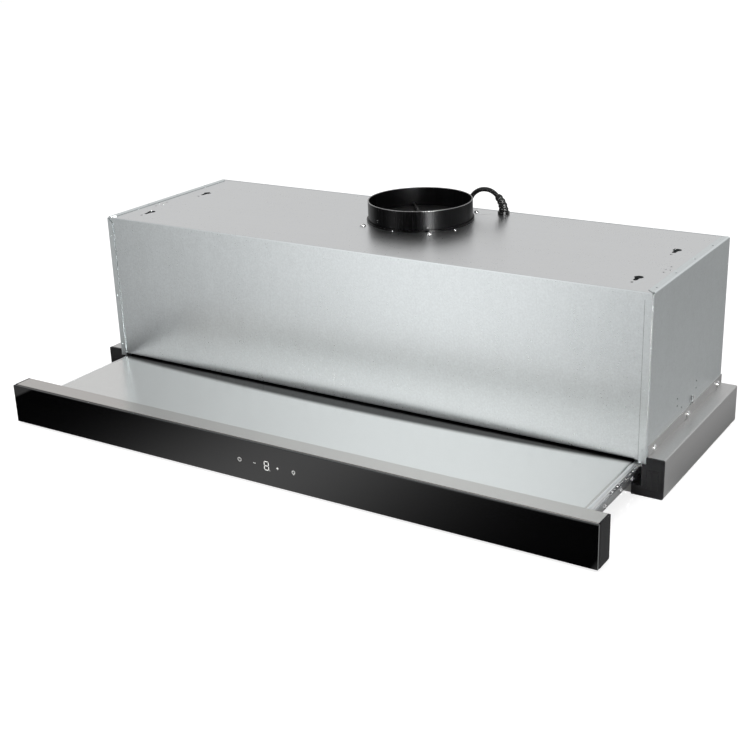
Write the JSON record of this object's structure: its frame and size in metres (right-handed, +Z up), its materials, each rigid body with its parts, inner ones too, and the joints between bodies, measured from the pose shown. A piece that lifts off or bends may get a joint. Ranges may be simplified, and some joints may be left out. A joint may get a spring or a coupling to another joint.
{
  "type": "pull-out range hood",
  "caption": "Slide-out range hood: galvanised casing on stainless side frames, round duct collar, and a drawer on ball-bearing slides with a glass touch front and grease filters.",
  "frame": {"origin": "on the ground, under the middle of the hood's width and of its depth with the drawer pulled out, the cord left out of account", "axes": "+X to the hood's right, +Y to its rear (the drawer pulls out towards -Y), +Z up through the duct collar"},
  "size_m": [0.898, 0.5892, 0.2968],
  "materials": {
    "galvanised": "galvanised, finely brushed",
    "stainless": "brushed",
    "tray_steel": "satin",
    "cap_plastic": "fine grain",
    "collar_plastic": "satin gloss",
    "zinc": "zinc plated",
    "bright_steel": "bright",
    "black_glass": "back-painted, glossy",
    "filter_aluminium": "satin",
    "latch_plastic": "fine grain",
    "lamp_ring": "satin",
    "lens": "frosted",
    "blower_steel": "galvanised",
    "impeller_plastic": "moulded",
    "motor_paint": "satin paint",
    "box_steel": "galvanised",
    "board": "solder-masked",
    "spring_brass": "plated",
    "capacitor_shell": "moulded",
    "black_rubber": "satin",
    "plug_plastic": "moulded",
    "blade_brass": "bright"
  },
  "bodies": {
    "housing": {"front_panel": "galvanised", "top_panel": "galvanised", "rear_panel": "galvanised", "left_side_panel": "galvanised", "right_side_panel": "galvanised", "left_side_frame": "stainless", "right_side_frame": "stainless", "left_frame_cap": "cap_plastic", "right_frame_cap": "cap_plastic", "flange_screws": "bright_steel", "hook_clips": "bright_steel", "base_pan": "tray_steel", "left_filter": "filter_aluminium", "right_filter": "filter_aluminium", "lamps": "lamp_ring", "lamp_lenses": "lens", "left_slide_rail": "zinc", "right_slide_rail": "zinc", "duct_collar": "collar_plastic", "collar_screws": "bright_steel", "flap_rod": "bright_steel", "blower_scroll": "blower_steel", "motor": "motor_paint", "motor_bracket": "blower_steel", "control_box": "box_steel", "control_box_lid": "box_steel", "power_board": "board", "capacitor": "capacitor_shell", "cord_boot": "black_rubber", "cord": "black_rubber", "cord_coil": "black_rubber", "plug_body": "plug_plastic", "plug_blades": "blade_brass"},
    "drawer": {"tray_plate": "tray_steel", "tray_base": "tray_steel", "left_runner": "zinc", "right_runner": "zinc", "runner_screws": "bright_steel", "visor_bar": "stainless", "glass_front": "black_glass", "left_visor_cap": "cap_plastic", "right_visor_cap": "cap_plastic", "touch_board": "board", "touch_springs": "spring_brass", "left_tray_filter": "filter_aluminium", "right_tray_filter": "filter_aluminium"},
    "left_cage": {"left_ball_cage": "zinc", "left_slide_balls": "bright_steel"},
    "right_cage": {"right_ball_cage": "zinc", "right_slide_balls": "bright_steel"},
    "left_damper_flap": {"left_flap": "collar_plastic"},
    "right_damper_flap": {"right_flap": "collar_plastic"},
    "rotor": {"impeller": "impeller_plastic", "motor_shaft": "bright_steel"},
    "left_base_latch": {"left_filter_latch": "latch_plastic"},
    "right_base_latch": {"right_filter_latch": "latch_plastic"},
    "left_drawer_latch": {"left_tray_latch": "latch_plastic"},
    "right_drawer_latch": {"right_tray_latch": "latch_plastic"}
  },
  "joints": [
    {"name": "drawer_slide", "type": "slide", "parent": "housing", "child": "drawer", "axis": [0, 1, 0], "range_m": [0, 0.1665]},
    {"name": "left_cage_slide", "type": "slide", "parent": "housing", "child": "left_cage", "axis": [0, 1, 0], "range_m": [0, 0.08325]},
    {"name": "right_cage_slide", "type": "slide", "parent": "housing", "child": "right_cage", "axis": [0, 1, 0], "range_m": [0, 0.08325]},
    {"name": "left_flap_hinge", "type": "hinge", "parent": "housing", "child": "left_damper_flap", "pos_m": [0.004, 0.14775, 0.266], "axis": [-0.6115, 0.7912, 0], "range_deg": [0, 75]},
    {"name": "right_flap_hinge", "type": "hinge", "parent": "housing", "child": "right_damper_flap", "pos_m": [0.004, 0.14775, 0.266], "axis": [0.6115, -0.7912, 0], "range_deg": [0, 75]},
    {"name": "impeller_spin", "type": "hinge", "parent": "housing", "child": "rotor", "pos_m": [0.004, 0.09875, 0.153], "axis": [1, 0, 0], "continuous": true},
    {"name": "left_filter_latch_slide", "type": "slide", "parent": "housing", "child": "left_base_latch", "axis": [0, 1, 0], "range_m": [0, 0.005], "stiffness_N_per_m": 400, "springref_m": -0.003},
    {"name": "right_filter_latch_slide", "type": "slide", "parent": "housing", "child": "right_base_latch", "axis": [0, 1, 0], "range_m": [0, 0.005], "stiffness_N_per_m": 400, "springref_m": -0.003},
    {"name": "left_tray_latch_slide", "type": "slide", "parent": "drawer", "child": "left_drawer_latch", "axis": [0, 1, 0], "range_m": [0, 0.005], "stiffness_N_per_m": 400, "springref_m": -0.003},
    {"name": "right_tray_latch_slide", "type": "slide", "parent": "drawer", "child": "right_drawer_latch", "axis": [0, 1, 0], "range_m": [0, 0.005], "stiffness_N_per_m": 400, "springref_m": -0.003}
  ],
  "couplings": [
    {"joint": "left_cage_slide", "follows": "drawer_slide", "ratio": 0.5},
    {"joint": "right_cage_slide", "follows": "drawer_slide", "ratio": 0.5}
  ]
}
